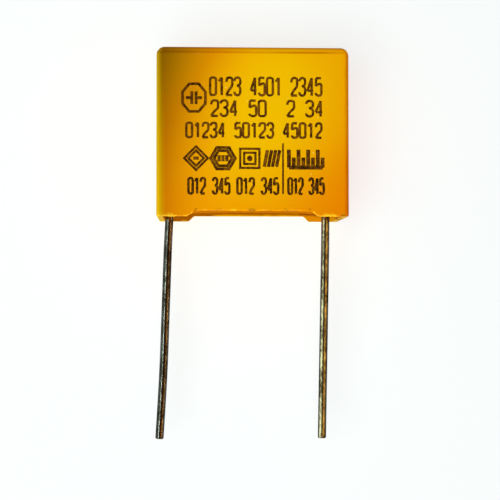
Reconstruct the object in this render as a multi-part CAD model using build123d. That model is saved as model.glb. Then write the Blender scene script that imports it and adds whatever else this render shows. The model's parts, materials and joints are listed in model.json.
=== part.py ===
from build123d import *
import os
from math import radians, tan

# Box film capacitor: a pressed film roll with metal-sprayed ends and two welded wires, potted
# with resin in a moulded plastic cup. Millimetres. It lies on one broad face: X runs from wire
# to wire, Y from the open, footed end to the closed end, and Z up out of the other broad face.
# The origin is the centre of the broad face underneath.

# Case, outside
case_length = 18.0          # X
case_height = 15.85         # Y, feet to closed end
case_depth = 10.0           # Z, broad face to broad face
broad_edge_radius = 0.5     # along the edges of both broad faces
end_corner_radius = 0.75    # the closed end's two corners, looking at a broad face

# Case, inside
rim_wall = 0.6              # side walls at the open end
end_wall = 0.8              # closed end
core_draft = 0.5            # degrees, so the walls thicken towards the closed end
cavity_corner_radius = 0.5
cavity_floor_bevel = 0.3

# Feet: a shallow gap in both broad walls leaves one foot at each corner
foot_height = 0.53
foot_length = 3.2           # from the case's end to the middle of the foot's sloping flank
flank_angle = 45.0          # degrees from the foot's sole
flank_radius = 0.3          # at the top and the bottom of each flank
rim_bevel = 0.07            # along the rim's outer edge

# Wires
wire_diameter = 0.8
left_cover = 0.1            # resin between the left wire and the end wall, at its thinnest
right_cover = 0.57          # the same on the right: the roll sits a little to the left
weld_rise = 8.2             # how far each wire climbs along the roll's sprayed end
weld_sink = 0.15            # how deep the wire is pressed into the sprayed metal
knee_drop = 0.15            # from the roll's lower side to each wire's first bend
upper_drop = 2.6            # from the feet to each wire's second bend
middle_run = 12.3           # from there down to the left wire's third bend
tail_run = 6.3              # from there to the tip
left_leans = (3.1, 1.86, 3.45)      # degrees outwards after each of its bends
right_leans = (-0.55, -1.1)         # the same on the right, where the wire leans inwards
knee_radius = 4.0
second_bend_radius = 100.0
third_bend_radius = 200.0
tip_bevel = 0.08            # the sheared tip's softened edge

# Roll and its sprayed ends
side_cover = 0.45           # resin between the roll and each broad wall, at its thinnest
end_cover = 0.5             # resin between the roll and the closed end
foot_cover = 1.2            # resin between the roll and the resin's surface
press_flat = 0.2            # flat left on the pressed roll's narrow sides
spray_thickness = 0.5
spray_margin = 0.15         # the sprayed metal stops short of the roll's edge
spray_bevel = 0.2           # where the spray thins out at the outer edge

# Resin surface
resin_setback = 0.42        # below the top of the gap between the feet
meniscus_rise = 0.2         # how much the resin climbs towards the end walls
collar_size = 0.3           # the cone that it draws up round each wire
collar_root = 0.25          # how deep the cone's body reaches into the resin

hairline = 0.001            # for telling which edges lie on a plane

# Worked out from the sizes above
feet_y = -case_height / 2
closed_y = case_height / 2
middle_z = case_depth / 2
wire_radius = wire_diameter / 2
cavity_height = case_height - end_wall
cavity_loss = cavity_height * tan(radians(core_draft))      # per side, at the closed end
cavity_half_length = case_length / 2 - rim_wall - cavity_loss
resin_y = feet_y + foot_height + resin_setback
roll_low_y = resin_y + foot_cover
roll_high_y = closed_y - end_wall - end_cover
roll_height = roll_high_y - roll_low_y
roll_thickness = case_depth - 2 * (rim_wall + cavity_loss + side_cover)
roll_y = (roll_low_y + roll_high_y) / 2
left_wire_x = -(cavity_half_length - left_cover - wire_radius)
right_wire_x = cavity_half_length - right_cover - wire_radius
knee_y = roll_low_y - knee_drop
second_bend_y = feet_y - upper_drop
tip_y = second_bend_y - middle_run - tail_run


def drafted_cavity():
    mouth = Plane(origin=(0, feet_y, middle_z), x_dir=(1, 0, 0), z_dir=(0, 1, 0))
    opening = RectangleRounded(case_length - 2 * rim_wall, case_depth - 2 * rim_wall, cavity_corner_radius)
    core = extrude(mouth * opening, cavity_height, taper=core_draft)
    floor = core.faces().sort_by(Axis.Y)[-1]
    return chamfer(floor.edges(), cavity_floor_bevel)


def rounded_block():
    outline = Rectangle(case_length, case_height)
    outline = fillet(outline.vertices().group_by(Axis.Y)[-1], end_corner_radius)
    block = extrude(outline, case_depth)
    layers = block.edges().group_by(Axis.Z)
    broad_edges = (layers[0] + layers[-1]).filter_by(lambda edge: edge.center().Y > feet_y + hairline)
    return fillet(broad_edges, broad_edge_radius)


def standoff_gap():
    half_flank = foot_height / tan(radians(flank_angle)) / 2
    half_gap = case_length / 2 - foot_length
    low, high = feet_y, feet_y + foot_height
    outline = Polyline(
        (-half_gap - half_flank, low),
        (-half_gap + half_flank, high),
        (half_gap - half_flank, high),
        (half_gap + half_flank, low),
        close=True,
    )
    profile = make_face(outline)
    profile = fillet(profile.vertices().group_by(Axis.Y)[-1], flank_radius)
    return extrude(profile, case_depth)


# An edge that runs from broad face to broad face, clear of the case's ends
def is_crease(edge):
    return abs(edge.tangent_at(0.5).Z) > 0.99 and abs(edge.center().X) < case_length / 2 - broad_edge_radius


# The crease where a flank meets its foot's sole
def is_sole_crease(edge):
    return is_crease(edge) and edge.center().Y < feet_y + hairline


# The outer edge of the open end, round the feet and over the gap
def is_rim(edge):
    return not is_crease(edge) and edge.center().Y < feet_y + foot_height + hairline


def case():
    block = rounded_block() - standoff_gap()
    block = fillet(block.edges().filter_by(is_sole_crease), flank_radius)
    block = chamfer(block.edges().filter_by(is_rim), rim_bevel)
    return block - drafted_cavity()


# A wire that starts at its weld, runs straight down to its knee and then leans from bend to bend
def wire(x, heights, leans, radii):
    points = [(x, knee_y + weld_rise, middle_z), (x, knee_y, middle_z)]
    for above, below, lean in zip(heights, heights[1:], leans):
        x += tan(radians(lean)) * (above - below)
        points.append((x, below, middle_z))
    path = FilletPolyline(*points, radius=radii)
    start = Plane(origin=path @ 0, z_dir=path % 0)
    rod = sweep(start * Circle(wire_radius), path)
    tip = rod.faces().sort_by(Axis.Y)[0]
    return chamfer(tip.edges(), tip_bevel)


def lead_left():
    heights = (knee_y, second_bend_y, second_bend_y - middle_run, tip_y)
    leans = [-lean for lean in left_leans]
    return wire(left_wire_x, heights, leans, [knee_radius, second_bend_radius, third_bend_radius])


def lead_right():
    heights = (knee_y, second_bend_y, tip_y)
    return wire(right_wire_x, heights, right_leans, [knee_radius, second_bend_radius])


# The roll's pressed, nearly full-round outline, drawn across X at the given x
def roll_outline(x, margin):
    height = roll_height - 2 * margin
    thickness = roll_thickness - 2 * margin
    radius = (min(height, thickness) - press_flat) / 2
    across = Plane(origin=(x, roll_y, middle_z), x_dir=(0, 1, 0), z_dir=(1, 0, 0))
    return across * RectangleRounded(height, thickness, radius)


left_spray_x = left_wire_x + wire_radius - weld_sink        # the sprayed metal's outer faces
right_spray_x = right_wire_x - wire_radius + weld_sink


def film_winding():
    length = right_spray_x - left_spray_x - 2 * spray_thickness
    return extrude(roll_outline(left_spray_x + spray_thickness, 0), length)


def end_spray_left(lead):
    layer = extrude(roll_outline(left_spray_x, spray_margin), spray_thickness)
    outer = layer.faces().sort_by(Axis.X)[0]
    return chamfer(outer.edges(), spray_bevel) - lead


def end_spray_right(lead):
    layer = extrude(roll_outline(right_spray_x - spray_thickness, spray_margin), spray_thickness)
    outer = layer.faces().sort_by(Axis.X)[-1]
    return chamfer(outer.edges(), spray_bevel) - lead


# Resin drawn up round a wire: a cone towards the tip, with a root in the resin
def collar(x):
    outer = wire_radius + collar_size
    outline = Polyline(
        (0, -collar_root),
        (outer, -collar_root),
        (outer, 0),
        (wire_radius, collar_size),
        (0, collar_size),
        close=True,
    )
    profile = make_face(outline)
    surface_y = resin_surface_y(x)
    towards_tip = Plane(origin=(x, surface_y, middle_z), x_dir=(1, 0, 0), z_dir=(0, 0, -1))
    return revolve(towards_tip * profile, Axis((x, surface_y, middle_z), (0, -1, 0)))


dish_radius = ((case_length / 2 - rim_wall) ** 2 + meniscus_rise ** 2) / (2 * meniscus_rise)


def resin_surface_y(x):
    return resin_y - dish_radius + (dish_radius ** 2 - x ** 2) ** 0.5


def potting_resin(embedded):
    cavity = drafted_cavity()
    dish = Pos(0, resin_y - dish_radius, middle_z) * Sphere(dish_radius)
    collars = collar(left_wire_x) + collar(right_wire_x)
    fill = (cavity - dish) + (collars & cavity)
    for piece in embedded:
        fill = fill - piece
    return fill


left, right = lead_left(), lead_right()
roll = film_winding()
left_end, right_end = end_spray_left(left), end_spray_right(right)

parts = {
    "case": case(),
    "potting_resin": potting_resin([roll, left_end, right_end, left, right]),
    "film_winding": roll,
    "end_spray_left": left_end,
    "end_spray_right": right_end,
    "lead_left": left,
    "lead_right": right,
}

os.makedirs("parts", exist_ok=True)
for name, piece in parts.items():
    export_step(piece, f"parts/{name}.step")
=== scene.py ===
import json
import math
import bpy
from mathutils import Euler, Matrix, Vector, noise

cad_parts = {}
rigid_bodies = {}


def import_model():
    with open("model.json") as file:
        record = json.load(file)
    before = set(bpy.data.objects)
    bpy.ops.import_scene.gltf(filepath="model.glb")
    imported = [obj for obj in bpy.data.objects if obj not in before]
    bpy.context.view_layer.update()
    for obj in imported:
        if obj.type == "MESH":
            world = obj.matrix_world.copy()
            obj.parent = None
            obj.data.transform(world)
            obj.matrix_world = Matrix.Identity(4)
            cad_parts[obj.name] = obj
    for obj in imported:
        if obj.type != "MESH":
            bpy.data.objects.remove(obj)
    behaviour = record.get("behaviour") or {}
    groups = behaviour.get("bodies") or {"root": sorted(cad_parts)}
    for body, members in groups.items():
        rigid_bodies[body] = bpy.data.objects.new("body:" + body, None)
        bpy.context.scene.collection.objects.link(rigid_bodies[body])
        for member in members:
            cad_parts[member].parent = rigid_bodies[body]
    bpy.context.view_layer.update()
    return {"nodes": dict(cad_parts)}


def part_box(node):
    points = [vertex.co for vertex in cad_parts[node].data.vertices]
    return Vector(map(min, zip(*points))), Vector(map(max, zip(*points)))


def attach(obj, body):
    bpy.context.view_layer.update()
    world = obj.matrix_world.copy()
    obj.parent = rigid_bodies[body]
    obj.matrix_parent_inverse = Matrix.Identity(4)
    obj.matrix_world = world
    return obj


# Box film capacitor: a moulded cup with two tinned wires, lying on its back face.
# Everything is made in metres, in the frame of the solids: X from wire to wire, Y towards the
# closed end, Z up out of the printed face, from the middle of the back face. The dictionaries
# give lengths and places in millimetres and angles in degrees.

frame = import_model()
nodes = frame["nodes"]
print("frame loaded:", ", ".join(sorted(nodes)))

millimetre = 0.001
caseLow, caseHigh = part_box("case")
faceHeight = caseHigh.z
wires = ("lead_left", "lead_right")


def metres(lengths):
    return [length * millimetre for length in lengths]


def turned(angles):
    return Euler([math.radians(angle) for angle in angles], "XYZ")


# an sRGB hex value as linear red, green, blue and alpha
def linearColour(hexText):
    channels = [int(hexText[i:i + 2], 16) / 255 for i in (1, 3, 5)]
    return [c / 12.92 if c <= 0.04045 else ((c + 0.055) / 1.055) ** 2.4 for c in channels] + [1]


def addObject(name, data):
    holder = bpy.data.objects.new(name, data)
    bpy.context.scene.collection.objects.link(holder)
    return holder


# adds any node: settings go on the node, inputs are plain values or another node's output
def addNode(tree, kind, inputs=None, **settings):
    node = tree.nodes.new("ShaderNode" + kind)
    for name, value in settings.items():
        setattr(node, name, value)
    for socket, value in (inputs or {}).items():
        if isinstance(value, bpy.types.NodeSocket):
            tree.links.new(value, node.inputs[socket])
        else:
            node.inputs[socket].default_value = value
    return node


# where a Mix node keeps its share, the colours under and over, and the mixed one
mixShare, mixUnder, mixOver, mixResult = 0, 6, 7, 2


def startMaterial(name):
    material = bpy.data.materials.new(name)
    material.use_nodes = True
    tree = material.node_tree
    tree.nodes.clear()
    place = addNode(tree, "TexCoord").outputs["Object"]
    return material, tree, place


def finishMaterial(tree, shader):
    addNode(tree, "OutputMaterial", {"Surface": shader.outputs[0]})


def dress(node, material):
    for slot in nodes[node].material_slots:
        slot.material = material


camera = {
    "place": (-5.040, -14.486, 121.219),  # above the printed face and a little towards the feet
    "turn": (1.7508, -2.4499, -0.0089),  # about X, Y and Z
    "lens": 86.34,
    "sensor": 36.0,
    "clip": (10, 20000),  # the nearest and the farthest that it sees
}


def makeCamera(settings):
    data = bpy.data.cameras.new("camera")
    data.lens = settings["lens"]
    data.sensor_width = settings["sensor"]
    data.clip_start, data.clip_end = metres(settings["clip"])
    holder = addObject("camera", data)
    holder.location = Vector(settings["place"]) * millimetre
    holder.rotation_euler = turned(settings["turn"])
    bpy.context.scene.camera = holder


makeCamera(camera)
print("camera placed")


studio = {
    "floorSide": 3000,
    "floorGap": 0.03,  # keeps the floor and the back face apart
    "floorColour": "#eef4f5",
    "glowColour": "#ffffff",
    "floorGlow": 0.74,  # added to the lit floor, so that it reads white
    "fillColour": "#f6fff4",
    "fillStrength": 0.045,
    "backdropColour": "#ffffff",  # what the lens and the reflections see instead of the fill
    "backdropStrength": 1.0,
}
matt = {"Roughness": 0.9, "Specular IOR Level": 0.1}  # the paper and the cards
cards = {
    # name: centre, size, turn, colour, glow
    "card_above": ((-65, 0, 300), (215, 700), (0, 0, 0), "#0c0c0c", 0.0),
    "card_right": ((206, 0, 196), (465, 700), (0, 48.4, 0), "#a05c18", 0.42),
    "card_left": ((-280, 0, 184), (361, 700), (0, -63.5, 0), "#84a097", 0.45),
}
softboxes = {
    # name: place, aim, width, height, watts, colour, the group that it lights
    "softbox_paper": ((-70, -60, 220), (0, 0, 0), 180, 180, 0.17, "#f2fffc", "stage"),
    "softbox_key": ((-40, -190, 12), (0, -5, 5), 120, 30, 0.29, "#fcf0b4", "body"),
    "softbox_left": ((-200, 0, 24), (0, -5, 5), 160, 60, 0.188, "#fcf8cc", "body"),
    "softbox_right": ((190, -30, 30), (0, -5, 5), 120, 40, 0.12, "#ff9048", "body"),
    "softbox_back": ((10, 190, 12), (0, 0, 5), 120, 30, 0.05, "#ffb878", "body"),
    "left_wire_cool": ((-120, -12, 170), (0, -12, 5), 220, 16, 0.10, "#e6f4ec", "lead_left"),
    "left_wire_warm": ((158, -12, 122), (0, -12, 5), 220, 12, 0.045, "#f6cc80", "lead_left"),
    "right_wire_cool": ((-154, -88, 112), (0, -25, 5), 220, 215, 0.31, "#f0f4c2", "lead_right"),
    "right_wire_warm": ((108, -60, 158), (0, -25, 5), 220, 170, 0.155, "#ffc860", "lead_right"),
}
# a spot whose edge falls across the printed face
pool = {
    "place": (-40, -9.2, 190),
    "aim": (69.4, -17, 10),
    "cone": 46,
    "blend": 0.2,  # the share of the cone that fades out
    "radius": 3,
    "watts": 1.24,
    "colour": "#fcf2b0",
}
lampGroups = {wire: wire for wire in wires}  # the floor and the cards are "stage", the rest "body"


def makePlane(name, width, height):
    x, y = width * millimetre / 2, height * millimetre / 2
    mesh = bpy.data.meshes.new(name)
    mesh.from_pydata([(-x, -y, 0), (x, -y, 0), (x, y, 0), (-x, y, 0)], [], [(0, 1, 2, 3)])
    holder = addObject(name, mesh)
    lampGroups[holder.name] = "stage"
    return holder


# white paper: matt, a touch cool, and glowing for the lens alone
def makeFloor(settings):
    floor = makePlane("floor", settings["floorSide"], settings["floorSide"])
    floor.location.z = caseLow.z - settings["floorGap"] * millimetre
    material, tree, _ = startMaterial("white paper")
    seen = addNode(tree, "LightPath").outputs["Is Camera Ray"]
    glow = addNode(tree, "Math", {0: seen, 1: settings["floorGlow"]}, operation="MULTIPLY")
    finishMaterial(tree, addNode(tree, "BsdfPrincipled", {
        **matt, "Base Color": linearColour(settings["floorColour"]),
        "Emission Color": linearColour(settings["glowColour"]), "Emission Strength": glow.outputs[0],
    }))
    floor.data.materials.append(material)


# a coloured card that only shows in reflections
def makeCard(name, place, size, turn, colour, glow):
    holder = makePlane(name, *size)
    holder.location = Vector(place) * millimetre
    holder.rotation_euler = turned(turn)
    holder.visible_camera = False
    holder.visible_diffuse = False
    holder.visible_shadow = False
    material, tree, _ = startMaterial(name)
    finishMaterial(tree, addNode(tree, "BsdfPrincipled", {
        **matt, "Base Color": linearColour(colour),
        "Emission Color": linearColour(colour), "Emission Strength": glow,
    }))
    holder.data.materials.append(material)


# a faint fill all round, and a white backdrop for the lens and the reflections
def makeWorld(settings):
    world = bpy.data.worlds.new("studio")
    world.use_nodes = True
    bpy.context.scene.world = world
    tree = world.node_tree
    tree.nodes.clear()
    fill, backdrop = [
        addNode(tree, "Background", {"Color": linearColour(settings[part + "Colour"]),
                                     "Strength": settings[part + "Strength"]}).outputs[0]
        for part in ("fill", "backdrop")
    ]
    path = addNode(tree, "LightPath").outputs
    seen = addNode(tree, "Math", {0: path["Is Camera Ray"], 1: path["Is Glossy Ray"]}, operation="MAXIMUM")
    both = addNode(tree, "MixShader", {0: seen.outputs[0], 1: fill, 2: backdrop})
    addNode(tree, "OutputWorld", {"Surface": both.outputs[0]})


# hangs a lamp that the lens doesn't see and that lights one group of things only
def hangLamp(lamp, place, aim, group):
    holder = addObject(lamp.name, lamp)
    holder.location = Vector(place) * millimetre
    beam = Vector(aim) * millimetre - holder.location
    holder.rotation_euler = beam.to_track_quat("-Z", "Y").to_euler()
    holder.visible_camera = False
    lit = bpy.data.collections.new("lit by " + lamp.name)
    for thing in bpy.context.scene.objects:
        if thing.type == "MESH" and lampGroups.get(thing.name, "body") == group:
            lit.objects.link(thing)
    holder.light_linking.receiver_collection = lit


def makeSoftbox(name, place, aim, width, height, watts, colour, group):
    lamp = bpy.data.lights.new(name, "AREA")
    lamp.shape = "RECTANGLE"
    lamp.size, lamp.size_y = metres((width, height))
    lamp.energy = watts
    lamp.color = linearColour(colour)[:3]
    hangLamp(lamp, place, aim, group)


def makePool(settings):
    lamp = bpy.data.lights.new("pool", "SPOT")
    lamp.spot_size = math.radians(settings["cone"])
    lamp.spot_blend = settings["blend"]
    lamp.shadow_soft_size = settings["radius"] * millimetre
    lamp.energy = settings["watts"]
    lamp.color = linearColour(settings["colour"])[:3]
    hangLamp(lamp, settings["place"], settings["aim"], "body")


bpy.context.scene.view_settings.view_transform = "Standard"
makeFloor(studio)
makeWorld(studio)
for name, settings in cards.items():
    makeCard(name, *settings)
print("floor, cards and backdrop set")


mouldedPbt = {
    "bright": "#f0c400",  # yellow at the middle of the painted light hue, and the colour under every other layer
    "warm": "#e88a00",  # orange, where the painted light hue turns away from the middle
    # painted shade: the colour of the crease line and of the closed end
    "creaseShade": "#b85e00",
    "rimHighlight": "#ffdc3c",  # painted highlight on the thin rim of the open end
    "nick": "#8c5e08",
    "footShade": "#cc8c00",  # painted shade on the inside of the right back foot
    "speck": "#ffe890",
    "sheen": "#ffc840",
    "roughness": 0.45,
    "roughnessSwing": 0.06,  # up and down with the grain
    "ior": 1.55,
    "specular": 0.1,
    "grainMm": 0.25,  # spark-eroded mould grain, drawn coarser than the real one so that it shows
    "grainDepthMm": 0.02,
    "grainStrength": 0.12,
    "cloudMm": 6.0,
    "chipMm": 0.8,  # from one chipped or ragged spot of the open edge to the next
    # painted light: the hue turns from bright to warm with the distance from a yellow middle, standing in
    # for the colour of the light across the case
    "gateMm": (1.7, 2.3),
    "hueReachMm": (8.8, 13.9, 1000),  # the length that counts as one, along turned X and Y and along Z
    "hueTurn": -26,
    "cloudShare": 0.3,  # what the clouds add to the distance
    "turnsWarm": (0.3, 1.4),  # the distances where it starts and is done
    # near some edges the painted light hue stays yellower: the distance is held to the first value at the
    # edge and to the second so many millimetres away from it
    "leftMm": 1.3,
    "backMm": 6,
    "wallLimit": (0.2, 1.6),  # at the left wall, painted yellower as if in the cool light from the left, and at the back face
    "cornerMm": 16,
    "cornerLimit": (0.76, 1.5),  # round the closed end's left corner, painted yellower for the olive tint of the shade there
    # a fine dark line, partly a mould witness line and partly painted crease shade, runs along the right
    # wall and the closed end
    "insideMm": (0.42, 0.75),  # its corner's centre, in from the two
    "creaseMm": 0.21,  # its corner's radius
    "creaseFadeMm": (0.16, 0.03),  # to either side of it, where it starts and is full
    "creaseCloud": (0.35, 0.65),  # between these values of the clouds
    "creaseShare": (0.3, 0.75),  # it goes from faint to clear
    "endShadeFadeMm": (0.42, 0.2),  # in from the closed end, where its painted shade starts and is full
    "endShadeShare": 0.4,  # how much of the painted shade's colour the closed end takes on
    # the open end's edge
    "gapTopMm": 0.53,  # from the feet's soles to the top of the gap between them
    "flankMm": (5.535, 6.065),  # from the middle to the top and the bottom of each foot's flank
    # its painted highlight starts and is full where the height above the edge comes down to rimMm, once the
    # chips' noise has taken off its share of raggedMm
    "rimMm": (-0.85, -1.2),
    "raggedMm": 2.2,
    "rimSlope": 0.6,  # this share of the height above the soles comes on top: less painted highlight in the gap
    "rimShare": 0.8,
    # its nicks start and are full at
    "nickMm": (0.26, 0.08),  # these heights above the edge,
    "nickChip": (0.41, 0.36),  # these values of the chips' noise
    "nickFaceMm": (0.5, 0.1),  # and these depths below the printed face
    "nickShare": 0.75,
    "footShadeMm": (6.3, 0.2, 0.7),  # the middle of the painted shade: right of the centre, above the soles and the back face
    # it starts and is full at
    "footShadeFadeMm": (1.5, 1.0),  # these distances from there
    "footShadeFloorMm": (0.3, 0.5),  # and these heights above the back face
    "specksMm": 1.9,  # from one speck of dust to the next
    "speckSize": (0.045, 0.02),  # shares of that at which a speck starts and is full
    "speckShare": 0.6,
}


# painted light hue: 0 where the plastic is painted bright and 1 where it is painted warm
def paintedLightHueMask(tree, look, place, axes, cloud):
    hueSpace = addNode(tree, "Mapping", {
        "Vector": place, "Location": Vector((*look["gateMm"], 0)) * millimetre,
        "Rotation": (0, 0, math.radians(look["hueTurn"])), "Scale": Vector(look["hueReachMm"]) * millimetre,
    }, vector_type="TEXTURE")
    reach = addNode(tree, "VectorMath", {0: hueSpace.outputs[0]}, operation="LENGTH")
    hueDistance = addNode(tree, "Math", {0: cloud, 1: look["cloudShare"], 2: reach.outputs["Value"]},
                     operation="MULTIPLY_ADD").outputs[0]
    flat = addNode(tree, "VectorMath", {0: place, 1: (1, 1, 0)}, operation="MULTIPLY")
    corner = addNode(tree, "VectorMath", {0: flat.outputs[0], 1: (caseLow.x, caseHigh.y, 0)},
                     operation="DISTANCE")
    # what is measured, from where, how far, and what it lets through
    limits = (
        (axes["X"], caseLow.x, look["leftMm"], look["wallLimit"]),
        (corner.outputs["Value"], 0, look["cornerMm"], look["cornerLimit"]),
        (axes["Z"], caseLow.z, look["backMm"], look["wallLimit"]),
    )
    for value, start, length, (least, most) in limits:
        limit = addNode(tree, "MapRange", {
            "Value": value, "From Min": start, "From Max": start + length * millimetre,
            "To Min": least, "To Max": most,
        })
        lower = addNode(tree, "Math", {0: hueDistance, 1: limit.outputs[0]}, operation="MINIMUM")
        hueDistance = lower.outputs[0]
    start, full = look["turnsWarm"]
    return addNode(tree, "MapRange", {"Value": hueDistance, "From Min": start, "From Max": full},
                   interpolation_type="SMOOTHSTEP").outputs[0]


# painted shade: a fine dark line where the flat faces meet their rounded edges, partly a mould witness
# line, and a painted shade over the closed end
def creaseAndEndShadeMask(tree, look, place, axes, cloud):
    inner = Vector((caseHigh.x, caseHigh.y, 0)) - Vector((*look["insideMm"], 0)) * millimetre
    past = addNode(tree, "VectorMath", {0: place, 1: inner}, operation="SUBTRACT")
    beyond = addNode(tree, "VectorMath", {0: past.outputs[0], 1: (0, 0, 0)}, operation="MAXIMUM")
    flat = addNode(tree, "VectorMath", {0: beyond.outputs[0], 1: (1, 1, 0)}, operation="MULTIPLY")
    arc = addNode(tree, "VectorMath", {0: flat.outputs[0]}, operation="LENGTH")
    away = addNode(tree, "Math", {0: arc.outputs["Value"], 1: look["creaseMm"] * millimetre},
                   operation="SUBTRACT")
    apart = addNode(tree, "Math", {0: away.outputs[0]}, operation="ABSOLUTE")
    start, full = metres(look["creaseFadeMm"])
    line = addNode(tree, "MapRange", {"Value": apart.outputs[0], "From Min": start, "From Max": full})
    low, high = look["creaseCloud"]
    faint, clear = look["creaseShare"]
    broken = addNode(tree, "MapRange", {"Value": cloud, "From Min": low, "From Max": high,
                                        "To Min": faint, "To Max": clear})
    traced = addNode(tree, "Math", {0: line.outputs[0], 1: broken.outputs[0]}, operation="MULTIPLY")
    start, full = metres(look["endShadeFadeMm"])
    paintedEndShade = addNode(tree, "MapRange", {"Value": axes["Y"], "From Min": caseHigh.y - start,
                                        "From Max": caseHigh.y - full, "To Max": look["endShadeShare"]})
    return addNode(tree, "Math", {0: traced.outputs[0], 1: paintedEndShade.outputs[0]},
                   operation="MAXIMUM").outputs[0]


# the height above the open end's edge, which is the soles' at the feet and the gap's between them
def heightAboveEdge(tree, look, axes):
    top, bottom = metres(look["flankMm"])
    side = addNode(tree, "Math", {0: axes["X"]}, operation="ABSOLUTE")
    edge = addNode(tree, "MapRange", {
        "Value": side.outputs[0], "From Min": top, "From Max": bottom,
        "To Min": caseLow.y + look["gapTopMm"] * millimetre, "To Max": caseLow.y,
    })
    return addNode(tree, "Math", {0: axes["Y"], 1: edge.outputs[0]},
                   operation="SUBTRACT").outputs[0]


# a painted highlight along the pale, slightly ragged rim of the open end
def paintedRimHighlightMask(tree, look, axes, above, chips):
    sloped = addNode(tree, "Math", {0: axes["Y"], 1: look["rimSlope"], 2: above},
                     operation="MULTIPLY_ADD")
    ragged = addNode(tree, "Math", {0: chips, 1: -look["raggedMm"] * millimetre, 2: sloped.outputs[0]},
                     operation="MULTIPLY_ADD")
    start, full = [height + look["rimSlope"] * caseLow.y for height in metres(look["rimMm"])]
    return addNode(tree, "MapRange", {"Value": ragged.outputs[0], "From Min": start, "From Max": full,
                                      "To Max": look["rimShare"]}).outputs[0]


# small dark nicks in the open edge of the printed wall
def nickMask(tree, look, axes, above, chips):
    start, full = metres(look["nickMm"])
    low = addNode(tree, "MapRange", {"Value": above, "From Min": start, "From Max": full})
    start, full = look["nickChip"]
    chipped = addNode(tree, "MapRange", {"Value": chips, "From Min": start, "From Max": full,
                                         "To Max": look["nickShare"]})
    start, full = metres(look["nickFaceMm"])
    printed = addNode(tree, "MapRange", {"Value": axes["Z"], "From Min": faceHeight - start,
                                         "From Max": faceHeight - full})
    rare = addNode(tree, "Math", {0: chipped.outputs[0], 1: printed.outputs[0]}, operation="MULTIPLY")
    return addNode(tree, "Math", {0: low.outputs[0], 1: rare.outputs[0]},
                   operation="MULTIPLY").outputs[0]


# painted shade on the inside of the right back foot
def paintedFootShadeMask(tree, look, place, axes):
    heart = Vector((0, caseLow.y, caseLow.z)) + Vector(look["footShadeMm"]) * millimetre
    distanceFromFootShade = addNode(tree, "VectorMath", {0: place, 1: heart}, operation="DISTANCE")
    start, full = metres(look["footShadeFadeMm"])
    film = addNode(tree, "MapRange", {"Value": distanceFromFootShade.outputs["Value"], "From Min": start, "From Max": full})
    start, full = metres(look["footShadeFloorMm"])
    inside = addNode(tree, "MapRange", {"Value": axes["Z"], "From Min": caseLow.z + start,
                                        "From Max": caseLow.z + full})
    return addNode(tree, "Math", {0: film.outputs[0], 1: inside.outputs[0]},
                   operation="MULTIPLY").outputs[0]


# a few pale specks of dust
def speckMask(tree, look, place):
    dots = addNode(tree, "TexVoronoi", {"Vector": place, "Scale": 1 / (look["specksMm"] * millimetre)})
    start, full = look["speckSize"]
    return addNode(tree, "MapRange", {"Value": dots.outputs["Distance"], "From Min": start,
                                      "From Max": full, "To Max": look["speckShare"]}).outputs[0]


# PBT from a spark-eroded mould: a satin, saturated yellow with a soft grain and faint clouds, under a
# painted light hue from yellow to orange, painted shade along a crease, over the closed end and inside a
# foot, and a painted highlight on the ragged rim
def makeMouldedPbt(look):
    material, tree, place = startMaterial("moulded PBT")
    axes = addNode(tree, "SeparateXYZ", {0: place}).outputs
    patterns = {"grainMm": (3.0, 0.6), "cloudMm": (2.0, 0.5), "chipMm": (3.0, 0.7)}  # detail, roughness
    grain, cloud, chips = [
        addNode(tree, "TexNoise", {"Vector": place, "Scale": 1 / (look[pattern] * millimetre),
                                   "Detail": detail, "Roughness": roughness}).outputs["Fac"]
        for pattern, (detail, roughness) in patterns.items()
    ]
    above = heightAboveEdge(tree, look, axes)
    layers = {
        "warm": paintedLightHueMask(tree, look, place, axes, cloud),
        "creaseShade": creaseAndEndShadeMask(tree, look, place, axes, cloud),
        "rimHighlight": paintedRimHighlightMask(tree, look, axes, above, chips),
        "nick": nickMask(tree, look, axes, above, chips),
        "footShade": paintedFootShadeMask(tree, look, place, axes),
        "speck": speckMask(tree, look, place),
    }
    colour = linearColour(look["bright"])
    for layer, mask in layers.items():  # each one over those before it
        mixed = addNode(tree, "Mix", {mixShare: mask, mixUnder: colour, mixOver: linearColour(look[layer])},
                        data_type="RGBA")
        colour = mixed.outputs[mixResult]
    swing = look["roughnessSwing"]
    gloss = addNode(tree, "MapRange", {"Value": grain, "To Min": look["roughness"] - swing,
                                       "To Max": look["roughness"] + swing})
    bump = addNode(tree, "Bump", {"Height": grain, "Strength": look["grainStrength"],
                                  "Distance": look["grainDepthMm"] * millimetre})
    finishMaterial(tree, addNode(tree, "BsdfPrincipled", {
        "Base Color": colour, "Roughness": gloss.outputs[0], "IOR": look["ior"],
        "Specular IOR Level": look["specular"], "Specular Tint": linearColour(look["sheen"]),
        "Normal": bump.outputs[0],
    }))
    return material


plastic = makeMouldedPbt(mouldedPbt)
dress("case", plastic)
print("case dressed")


mouldFlash = {
    # one half of its path: from the middle, and above the soles
    "path": ((8.1, 0), (6.19, 0), (6.01, 0.06), (5.62, 0.44), (5.41, 0.53)),
    "step": 0.07,
    "reach": 0.14,  # at most
    "even": 0.15,  # the share of the reach that it has everywhere,
    "coarse": 0.9,  # the share that comes and goes from patch to patch,
    "fine": 0.5,  # and the share that comes and goes from fine patch to fine patch
    "patch": 0.9,  # from one patch to the next
    "finer": 4,  # fine patches in a patch
    "root": 0.03,  # sunk into the edge
    "thick": (0.03, 0.01),  # at the root and at the tip
    "below": 0.07,  # under the printed face
}


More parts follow.
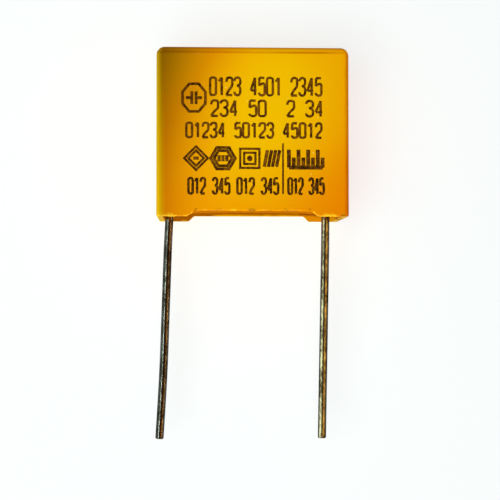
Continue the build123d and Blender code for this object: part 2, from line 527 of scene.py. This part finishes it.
# the thin ragged fin that the mould squeezed out along the open edge of the printed wall
def makeMouldFlash(look, material):
    right = [Vector(spot) for spot in look["path"]]
    corners = [Vector((-spot.x, spot.y)) for spot in right] + right[::-1]
    spots = []
    for start, end in zip(corners, corners[1:]):
        steps = max(1, round((end - start).length / look["step"]))
        spots += [start.lerp(end, k / steps) for k in range(steps)]
    vertices, faces = [], []
    for k in range(1, len(spots) - 1):
        along = spots[k + 1] - spots[k - 1]
        outward = Vector((along.y, -along.x)).normalized()
        spot = Vector((*spots[k], 0)) / look["patch"]
        coarse, fine = noise.noise(spot), noise.noise(spot * look["finer"])
        ragged = look["even"] + look["coarse"] * coarse + look["fine"] * fine
        tip = spots[k] + outward * max(-look["root"] / 2, min(ragged, 1) * look["reach"])
        root = spots[k] - outward * look["root"]
        for edge, thick in ((root, look["thick"][0]), (tip, look["thick"][1])):
            for side in (-1, 1):
                x, y = edge * millimetre
                z = faceHeight + (side * thick / 2 - look["below"]) * millimetre
                vertices.append((x, caseLow.y + y, z))
    ring = 4  # corners to a step: two at the root, two at the tip
    for k in range(0, len(vertices) - ring, ring):
        for a, b in ((0, 1), (1, 3), (3, 2), (2, 0)):
            faces.append((k + a, k + b, k + ring + b, k + ring + a))
    last = len(vertices) - ring
    faces += [(2, 3, 1, 0), (last, last + 1, last + 3, last + 2)]  # the two ends
    mesh = bpy.data.meshes.new("mould_flash")
    mesh.from_pydata(vertices, [], faces)
    mesh.materials.append(material)
    flash = addObject("mould_flash", mesh)
    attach(flash, "root")


makeMouldFlash(mouldFlash, plastic)
print("mould flash made")


tinnedWire = {
    "bright": "#b4b1a8",
    "dull": "#4a4238",
    "edge": "#898989",  # tints what it mirrors at a grazing angle
    "roughness": 0.17,
    "brightRoughness": -0.04,  # comes on top where the tin is bright,
    "dullRoughness": 0.16,  # and this where it is dull
    "pitMm": 0.16,
    "pitDepthMm": 0.03,
    "pitStrength": 0.4,
    "patchMm": 0.9,
    "drawn": 0.45,  # the width of a pit or a patch to its length along the wire
    "dullRange": (0.16, 0.36),  # pits times patches: dull below the first, bright above the second
}


# hot-dipped tin on copper wire: a bright grey metal, pitted and dulled in patches
def makeTinnedWire(look):
    material, tree, place = startMaterial("tinned wire")
    drawn = addNode(tree, "Mapping", {"Vector": place, "Scale": (1, look["drawn"], 1)}).outputs[0]
    pits = addNode(tree, "TexNoise", {"Vector": drawn, "Scale": 1 / (look["pitMm"] * millimetre),
                                      "Detail": 3.0, "Roughness": 0.6}).outputs["Fac"]
    patches = addNode(tree, "TexNoise", {"Vector": drawn, "Scale": 1 / (look["patchMm"] * millimetre),
                                         "Detail": 2.0}).outputs["Fac"]
    mottled = addNode(tree, "Math", {0: pits, 1: patches}, operation="MULTIPLY")
    dull, bright = look["dullRange"]
    brightness = addNode(tree, "MapRange", {"Value": mottled.outputs[0], "From Min": dull,
                                            "From Max": bright}).outputs[0]
    colour = addNode(tree, "Mix", {mixShare: brightness, mixUnder: linearColour(look["dull"]),
                                   mixOver: linearColour(look["bright"])}, data_type="RGBA")
    gloss = addNode(tree, "MapRange", {"Value": brightness,
                                       "To Min": look["roughness"] + look["dullRoughness"],
                                       "To Max": look["roughness"] + look["brightRoughness"]})
    bump = addNode(tree, "Bump", {"Height": pits, "Strength": look["pitStrength"],
                                  "Distance": look["pitDepthMm"] * millimetre})
    finishMaterial(tree, addNode(tree, "BsdfPrincipled", {
        "Base Color": colour.outputs[mixResult], "Metallic": 1.0, "Roughness": gloss.outputs[0],
        "Specular Tint": linearColour(look["edge"]), "Normal": bump.outputs[0],
    }))
    return material


tinned = makeTinnedWire(tinnedWire)
for wire in wires:
    dress(wire, tinned)
print("wires dressed")


pottingResin = {
    "deep": "#c87404",
    "pale": "#e4940c",
    "cloudMm": 1.5,
    "roughness": 0.6,
    "ior": 1.55,
    "specular": 0.0,
}


# epoxy poured in and set in the open: amber brown, matt, a little cloudy
def makePottingResin(look):
    material, tree, place = startMaterial("poured epoxy")
    cloud = addNode(tree, "TexNoise", {"Vector": place, "Scale": 1 / (look["cloudMm"] * millimetre),
                                       "Detail": 3.0})
    colour = addNode(tree, "Mix", {mixShare: cloud.outputs["Fac"], mixUnder: linearColour(look["deep"]),
                                   mixOver: linearColour(look["pale"])}, data_type="RGBA")
    finishMaterial(tree, addNode(tree, "BsdfPrincipled", {
        "Base Color": colour.outputs[mixResult], "Roughness": look["roughness"], "IOR": look["ior"],
        "Specular IOR Level": look["specular"],
    }))
    return material


dress("potting_resin", makePottingResin(pottingResin))
print("resin dressed")


windingFilm = {
    "silver": "#aeb2b4",
    "shadow": "#7d8386",
    "roughness": 0.28,
    "lineMm": 0.12,  # the lines are 2 pi times this apart: coarser than real turns, so that they show
    "waver": 1.5,
}
waveRadians = 20  # so far a wave texture turns in one unit


# metallised film wound flat: silvery, with fine lines where one turn lies over the next
def makeWindingFilm(look):
    material, tree, place = startMaterial("metallised film")
    turns = addNode(tree, "TexWave", {
        "Vector": place, "Scale": 1 / (look["lineMm"] * millimetre) / waveRadians,
        "Distortion": look["waver"], "Detail": 2.0,
    }, bands_direction="Z")
    colour = addNode(tree, "Mix", {mixShare: turns.outputs["Fac"], mixUnder: linearColour(look["shadow"]),
                                   mixOver: linearColour(look["silver"])}, data_type="RGBA")
    finishMaterial(tree, addNode(tree, "BsdfPrincipled", {
        "Base Color": colour.outputs[mixResult], "Metallic": 1.0, "Roughness": look["roughness"],
    }))
    return material


zincSpray = {
    "pale": "#9a9ea0",
    "dark": "#63686b",
    "roughness": 0.65,
    "grainMm": 0.09,
    "grainDepthMm": 0.05,
    "grainStrength": 0.6,
}


# flame-sprayed zinc: a rough, matt grey crust that scatters the light
def makeZincSpray(look):
    material, tree, place = startMaterial("sprayed zinc")
    grain = addNode(tree, "TexNoise", {"Vector": place, "Scale": 1 / (look["grainMm"] * millimetre),
                                       "Detail": 4.0, "Roughness": 0.7}).outputs["Fac"]
    colour = addNode(tree, "Mix", {mixShare: grain, mixUnder: linearColour(look["dark"]),
                                   mixOver: linearColour(look["pale"])}, data_type="RGBA")
    bump = addNode(tree, "Bump", {"Height": grain, "Strength": look["grainStrength"],
                                  "Distance": look["grainDepthMm"] * millimetre})
    finishMaterial(tree, addNode(tree, "BsdfPrincipled", {
        "Base Color": colour.outputs[mixResult], "Metallic": 1.0, "Roughness": look["roughness"],
        "Normal": bump.outputs[0],
    }))
    return material


dress("film_winding", makeWindingFilm(windingFilm))
zinc = makeZincSpray(zincSpray)
for spray in ("end_spray_left", "end_spray_right"):
    dress(spray, zinc)
print("inner pieces dressed")


padInk = {
    "colour": "#3c1e00",
    "worn": "#7a4e0a",
    "wornMm": 0.35,
    "wornRange": (0.45, 0.7),  # values of the noise: inked below the first, worn above the second
    "pressedMm": (-4.0, -0.5),  # along Y: the pad pressed hardest before the first, least past the second
    "pressedWear": 0.1,  # what pressing least adds to the noise
    "roughness": 0.7,
    "specular": 0.1,
    "thickness": 0.008,  # above the face
}


# ink printed with a soft pad: dark, matt and thin, with the plastic showing where it is worn
def makePadInk(look):
    material, tree, place = startMaterial("pad-printed ink")
    worn = addNode(tree, "TexNoise", {"Vector": place, "Scale": 1 / (look["wornMm"] * millimetre),
                                      "Detail": 3.0})
    axes = addNode(tree, "SeparateXYZ", {0: place}).outputs
    hard, light = metres(look["pressedMm"])
    pressed = addNode(tree, "MapRange", {"Value": axes["Y"], "From Min": hard, "From Max": light,
                                         "To Max": look["pressedWear"]})
    thinned = addNode(tree, "Math", {0: worn.outputs["Fac"], 1: pressed.outputs[0]}, operation="ADD")
    inked, bare = look["wornRange"]
    share = addNode(tree, "MapRange", {"Value": thinned.outputs[0], "From Min": inked, "From Max": bare})
    colour = addNode(tree, "Mix", {mixShare: share.outputs[0], mixUnder: linearColour(look["colour"]),
                                   mixOver: linearColour(look["worn"])}, data_type="RGBA")
    finishMaterial(tree, addNode(tree, "BsdfPrincipled", {
        "Base Color": colour.outputs[mixResult], "Roughness": look["roughness"],
        "Specular IOR Level": look["specular"],
    }))
    return material


inkMaterial = makePadInk(padInk)

# each kind of pen stroke: whether it is rounded, and whether it closes
strokeKinds = {"loop": (True, True), "bow": (True, False), "bar": (False, False), "frame": (False, True)}

# each numeral as pen strokes in a cell one wide and one high
numerals = {
    "0": [("loop", (0, .3), (0, 0), (1, 0), (1, .3), (1, .7), (1, 1), (0, 1), (0, .7))],
    "1": [("bar", (.12, .78), (.6, 1), (.6, 0))],
    "2": [("bow", (.02, .74), (0, 1), (1, 1), (1, .72), (1, .5), (.3, .25), (0, 0)),
          ("bar", (0, 0), (1, 0))],
    "3": [("bow", (0, .8), (.03, 1), (1, 1), (1, .54), (.4, .54)),
          ("bow", (.4, .54), (1, .54), (1, 0), (0, 0), (0, .2))],
    "4": [("bar", (.72, 0), (.72, 1), (0, .28), (1, .28))],
    "5": [("bar", (.95, 1), (.1, 1), (.05, .54)),
          ("bow", (.05, .54), (.3, .64), (1, .7), (1, .32), (1, 0), (.1, 0), (0, .16))],
}


# an empty drawing, one unit to the millimetre
def newInk(name, stroke):
    curve = bpy.data.curves.new(name, "CURVE")
    curve.dimensions = "3D"
    curve.bevel_depth = stroke / 2
    curve.bevel_resolution = 1
    curve.resolution_u = 5
    curve.use_fill_caps = True
    return curve


def addStroke(curve, kind, points):
    rounded, closed = strokeKinds[kind]
    spline = curve.splines.new("NURBS" if rounded else "POLY")
    spline.points.add(len(points) - 1)
    for spot, (x, y) in zip(spline.points, points):
        spot.co = (x, y, 0, 1)
    if rounded:
        spline.order_u = 3
        spline.use_endpoint_u = not closed
    spline.use_cyclic_u = closed


# turns the strokes into a thin layer of ink lying on the face
def layInk(curve):
    drawing = addObject(curve.name, curve)
    mesh = bpy.data.meshes.new_from_object(drawing.evaluated_get(bpy.context.evaluated_depsgraph_get()))
    bpy.data.objects.remove(drawing)
    flatten = padInk["thickness"] / curve.bevel_depth
    for vertex in mesh.vertices:
        x, y, z = vertex.co
        vertex.co = (x * millimetre, y * millimetre, faceHeight + z * flatten * millimetre)
    mesh.materials.clear()
    mesh.materials.append(inkMaterial)
    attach(addObject(curve.name, mesh), "root")


printNumbers = {
    "stroke": 0.235,
    "rows": {
        # name: digits, left, right, bottom, top, the share of its cell that a digit fills
        "print_row_1": ("0123 4501 2345", -4.0, 6.4, 3.35, 5.0, 0.72),
        "print_row_2": ("234 50  2 34", -3.9, 6.5, 1.4, 2.85, 0.72),
        "print_row_3": ("01234 50123 45012", -6.2, 6.4, -0.6, 0.75, 0.7),
        "print_row_5_left": ("012 345 012 345", -6.0, 2.35, -5.85, -4.4, 0.7),
        "print_row_5_right": ("012 345", 3.3, 6.6, -5.85, -4.4, 0.7),
    },
}


def writeNumbers(name, digits, left, right, bottom, top, fill):
    curve = newInk(name, printNumbers["stroke"])
    pitch = (right - left) / (len(digits) - 1 + fill)
    for place, digit in enumerate(digits):
        x = left + place * pitch
        for kind, *points in numerals.get(digit, []):
            spots = [(x + u * pitch * fill, bottom + v * (top - bottom)) for u, v in points]
            if kind == "bar":  # piece by piece, so that the pen keeps its width at the corners
                for start, end in zip(spots, spots[1:]):
                    addStroke(curve, kind, (start, end))
            else:
                addStroke(curve, kind, spots)
    layInk(curve)


def regular(corners, x, y, radius, turn=0):
    angles = [math.radians(turn + 360 * k / corners) for k in range(corners)]
    return [(x + radius * math.cos(angle), y + radius * math.sin(angle)) for angle in angles]


def box(x, y, side):
    return [(x + u * side / 2, y + v * side / 2) for u, v in ((-1, -1), (1, -1), (1, 1), (-1, 1))]


printSigns = {
    "middle": -2.55,  # of the row, along Y
    "height": 2.1,
    "stroke": 0.31,
    # x is a sign's middle or its first bar; frames, dot, rise, foot, tops, top and bottom are shares
    # of half the height, measured from the middle
    "diamond": {"x": -5.3, "frames": (1.05, 0.68), "dash": 0.25},
    "hexagon": {"x": -2.8, "frames": (1.1, 0.78), "post": 0.3, "apart": 0.36},
    "square": {"x": -0.3, "frames": (0.85, 0.5), "dot": 0.12},
    "slants": {"x": 1.05, "count": 4, "apart": 0.38, "lean": 0.3, "rise": 0.75},
    "comb": {"x": 3.35, "count": 8, "apart": 0.45, "foot": 0.8, "tops": (0.8, 0.1), "stroke": 0.37},
    "rule": {"x": 2.8, "top": 1.35, "bottom": 3.15, "stroke": 0.17},
}


# a double diamond round a dash
def drawDiamond(curve, y, half, look):
    x, dash = look["x"], look["dash"]
    for share in look["frames"]:
        addStroke(curve, "frame", regular(4, x, y, half * share))
    addStroke(curve, "bar", [(x - dash, y), (x + dash, y)])


# a double hexagon round three posts
def drawHexagon(curve, y, half, look):
    for share in look["frames"]:
        addStroke(curve, "frame", regular(6, look["x"], y, half * share))
    for step in (-1, 0, 1):
        x = look["x"] + look["apart"] * step
        addStroke(curve, "bar", [(x, y - look["post"]), (x, y + look["post"])])


# a double square round a dot
def drawSquare(curve, y, half, look):
    for share in look["frames"]:
        addStroke(curve, "frame", box(look["x"], y, 2 * half * share))
    addStroke(curve, "frame", regular(8, look["x"], y, half * look["dot"]))


# a row of leaning bars
def drawSlants(curve, y, half, look):
    rise = half * look["rise"]
    for step in range(look["count"]):
        x = look["x"] + look["apart"] * step
        addStroke(curve, "bar", [(x, y - rise), (x + look["lean"], y + rise)])


# bars on a foot line, long and short in turn
def drawComb(curve, y, half, look):
    foot = y - half * look["foot"]
    bars = [look["x"] + look["apart"] * step for step in range(look["count"])]
    for step, x in enumerate(bars):
        addStroke(curve, "bar", [(x, foot), (x, y + half * look["tops"][step % 2])])
    addStroke(curve, "bar", [(bars[0], foot), (bars[-1], foot)])


# a thin upright line beside the comb
def drawRule(curve, y, half, look):
    addStroke(curve, "bar", [(look["x"], y + half * look["top"]), (look["x"], y - half * look["bottom"])])


def drawSigns(name, look):
    y, half = look["middle"], look["height"] / 2
    curve = newInk(name, look["stroke"])
    drawDiamond(curve, y, half, look["diamond"])
    drawHexagon(curve, y, half, look["hexagon"])
    drawSquare(curve, y, half, look["square"])
    drawSlants(curve, y, half, look["slants"])
    layInk(curve)
    for part, draw in (("comb", drawComb), ("rule", drawRule)):
        curve = newInk(name + "_" + part, look[part]["stroke"])
        draw(curve, y, half, look[part])
        layInk(curve)


printEmblem = {
    "middle": (-5.5, 3.1),
    "size": (2.3, 2.8),
    "corners": 8,
    "turn": 22.5,
    "stroke": 0.28,
    "plate": 0.6,  # half of a plate's length
    "gap": 0.2,  # from the middle to each plate
    "leg": 0.75,  # from the middle to the end of each leg
}


# the circuit sign for a capacitor in an eight-sided frame
def drawEmblem(name, look):
    curve = newInk(name, look["stroke"])
    x, y = look["middle"]
    width, height = look["size"]
    outline = regular(look["corners"], x, y, width / 2, look["turn"])
    addStroke(curve, "frame", [(u, y + (v - y) * height / width) for u, v in outline])
    for side in (-1, 1):
        plate, end = x + side * look["gap"], x + side * look["leg"]
        addStroke(curve, "bar", [(plate, y - look["plate"]), (plate, y + look["plate"])])
        addStroke(curve, "bar", [(plate, y), (end, y)])
    layInk(curve)


for name, row in printNumbers["rows"].items():
    writeNumbers(name, *row)
drawSigns("print_signs", printSigns)
drawEmblem("print_emblem", printEmblem)
print("print laid")

for name, settings in softboxes.items():
    makeSoftbox(name, *settings)
makePool(pool)
print("lamps lit")
